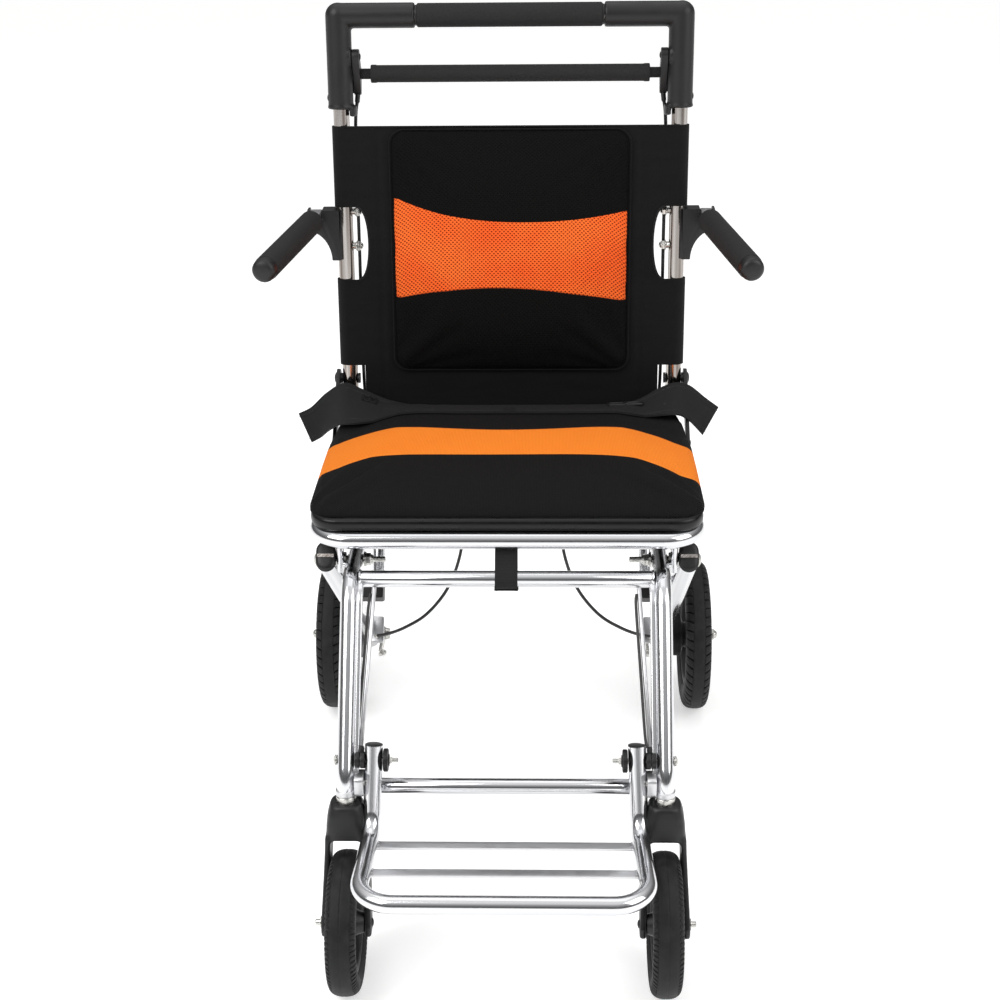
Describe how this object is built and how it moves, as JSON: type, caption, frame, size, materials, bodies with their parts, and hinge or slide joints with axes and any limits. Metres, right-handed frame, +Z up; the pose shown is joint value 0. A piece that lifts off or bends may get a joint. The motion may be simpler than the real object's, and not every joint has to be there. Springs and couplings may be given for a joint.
{
  "type": "folding wheelchair",
  "caption": "Folding transit wheelchair: bent tube frame, padded seat and back, flip-up arms and footrest, swivelling casters, hand brake bar.",
  "frame": {"origin": "on the floor, under the middle of the chair's outer box", "axes": "+X to the right as seen from the front of the chair, +Y towards the back, where the attendant walks, +Z up"},
  "size_m": [0.5658, 0.8141, 0.95],
  "materials": {
    "polished_aluminium": "polished tube with a chrome-like shine",
    "zinc_steel": "bright zinc bolts, pins and plates",
    "black_plastic": "moulded, fine satin grain",
    "black_foam": "matt closed-cell grip foam",
    "tyre_rubber": "solid tyre, matt",
    "black_nylon": "woven nylon cloth and webbing",
    "air_mesh": "black spacer mesh with an orange band",
    "black_vinyl": "smooth coated cloth, glossy",
    "cable_sheath": "black sheath"
  },
  "bodies": {
    "chassis": {"front_leg_left": "polished_aluminium", "front_leg_right": "polished_aluminium", "upper_crossbar": "polished_aluminium", "lower_crossbar": "polished_aluminium", "seat_frame": "polished_aluminium", "seat_bracket_left": "polished_aluminium", "seat_bracket_right": "polished_aluminium", "seat_base": "black_vinyl", "seat_cushion": "air_mesh", "pull_strap": "black_nylon", "lap_belt_left": "black_nylon", "lap_belt_right": "black_nylon", "back_hinge_left": "zinc_steel", "back_hinge_right": "zinc_steel", "leg_rest_left": "polished_aluminium", "leg_rest_right": "polished_aluminium", "footrest_stay_left": "polished_aluminium", "footrest_stay_right": "polished_aluminium", "footrest_pivot_left": "zinc_steel", "footrest_pivot_right": "zinc_steel", "leg_pivot_left": "zinc_steel", "leg_pivot_right": "zinc_steel", "brake_cable_left": "cable_sheath", "brake_cable_right": "cable_sheath"},
    "rear_frame": {"rear_leg_left": "polished_aluminium", "rear_leg_right": "polished_aluminium", "leg_plug_left": "black_plastic", "leg_plug_right": "black_plastic", "rear_crossbar": "polished_aluminium", "rear_axle_left": "zinc_steel", "rear_axle_right": "zinc_steel"},
    "brake_lever_left": {"brake_lever_left": "zinc_steel"},
    "brake_lever_right": {"brake_lever_right": "zinc_steel"},
    "rear_wheel_left": {"rear_tyre_left": "tyre_rubber", "rear_wheel_centre_left": "black_plastic"},
    "rear_wheel_right": {"rear_tyre_right": "tyre_rubber", "rear_wheel_centre_right": "black_plastic"},
    "backrest": {"push_tube": "polished_aluminium", "handle_elbow_left": "black_plastic", "handle_elbow_right": "black_plastic", "handle_grip": "black_foam", "back_upholstery": "black_nylon", "back_pad": "air_mesh", "arm_bracket_left": "black_plastic", "arm_bracket_right": "black_plastic"},
    "brake_bar": {"brake_bar": "black_foam"},
    "armrest_left": {"armrest_bar_left": "polished_aluminium", "armrest_grip_left": "black_foam"},
    "armrest_right": {"armrest_bar_right": "polished_aluminium", "armrest_grip_right": "black_foam"},
    "footrest": {"footrest_frame": "polished_aluminium"},
    "caster_left": {"caster_fork_left": "black_plastic", "front_axle_left": "zinc_steel"},
    "caster_right": {"caster_fork_right": "black_plastic", "front_axle_right": "zinc_steel"},
    "front_wheel_left": {"front_tyre_left": "tyre_rubber", "front_wheel_centre_left": "black_plastic"},
    "front_wheel_right": {"front_tyre_right": "tyre_rubber", "front_wheel_centre_right": "black_plastic"}
  },
  "joints": [
    {"name": "back_fold", "type": "hinge", "parent": "chassis", "child": "backrest", "pos_m": [0, 0.23178, 0.5], "axis": [1, 0, 0], "range_deg": [0, 74], "deforming": ["brake_cable_left", "brake_cable_right"]},
    {"name": "rear_leg_fold", "type": "hinge", "parent": "chassis", "child": "rear_frame", "pos_m": [0, -0.08455, 0.397], "axis": [1, 0, 0], "range_deg": [-60, 0], "deforming": ["brake_cable_left", "brake_cable_right"]},
    {"name": "brake_squeeze", "type": "hinge", "parent": "backrest", "child": "brake_bar", "pos_m": [0, 0.26472, 0.889], "axis": [1, 0, 0], "range_deg": [0, 25], "stiffness_Nm_per_rad": 1.5, "springref_deg": -11.46},
    {"name": "armrest_flip_left", "type": "hinge", "parent": "backrest", "child": "armrest_left", "pos_m": [-0.236, 0.24902, 0.7035], "axis": [1, 0, 0], "range_deg": [-90, 0]},
    {"name": "armrest_flip_right", "type": "hinge", "parent": "backrest", "child": "armrest_right", "pos_m": [0.236, 0.24902, 0.7035], "axis": [1, 0, 0], "range_deg": [-90, 0]},
    {"name": "footrest_flip", "type": "hinge", "parent": "chassis", "child": "footrest", "pos_m": [0, -0.24916, 0.2405], "axis": [1, 0, 0], "range_deg": [-75, 0]},
    {"name": "caster_swivel_left", "type": "hinge", "parent": "chassis", "child": "caster_left", "pos_m": [-0.168, -0.26155, 0.2065], "axis": [0, 0, 1], "continuous": true},
    {"name": "caster_swivel_right", "type": "hinge", "parent": "chassis", "child": "caster_right", "pos_m": [0.168, -0.26155, 0.2065], "axis": [0, 0, 1], "continuous": true},
    {"name": "front_wheel_spin_left", "type": "hinge", "parent": "caster_left", "child": "front_wheel_left", "pos_m": [-0.168, -0.30655, 0.0762], "axis": [1, 0, 0], "continuous": true},
    {"name": "front_wheel_spin_right", "type": "hinge", "parent": "caster_right", "child": "front_wheel_right", "pos_m": [0.168, -0.30655, 0.0762], "axis": [1, 0, 0], "continuous": true},
    {"name": "rear_wheel_spin_left", "type": "hinge", "parent": "rear_frame", "child": "rear_wheel_left", "pos_m": [-0.2465, 0.30545, 0.1016], "axis": [1, 0, 0], "continuous": true},
    {"name": "rear_wheel_spin_right", "type": "hinge", "parent": "rear_frame", "child": "rear_wheel_right", "pos_m": [0.2465, 0.30545, 0.1016], "axis": [1, 0, 0], "continuous": true},
    {"name": "brake_lever_pull_left", "type": "hinge", "parent": "rear_frame", "child": "brake_lever_left", "pos_m": [-0.199, 0.30545, 0.1016], "axis": [1, 0, 0], "range_deg": [-13, 0]},
    {"name": "brake_lever_pull_right", "type": "hinge", "parent": "rear_frame", "child": "brake_lever_right", "pos_m": [0.199, 0.30545, 0.1016], "axis": [1, 0, 0], "range_deg": [-13, 0]}
  ],
  "couplings": [
    {"joint": "brake_lever_pull_left", "follows": "brake_squeeze", "ratio": -0.5},
    {"joint": "brake_lever_pull_right", "follows": "brake_squeeze", "ratio": -0.5}
  ]
}
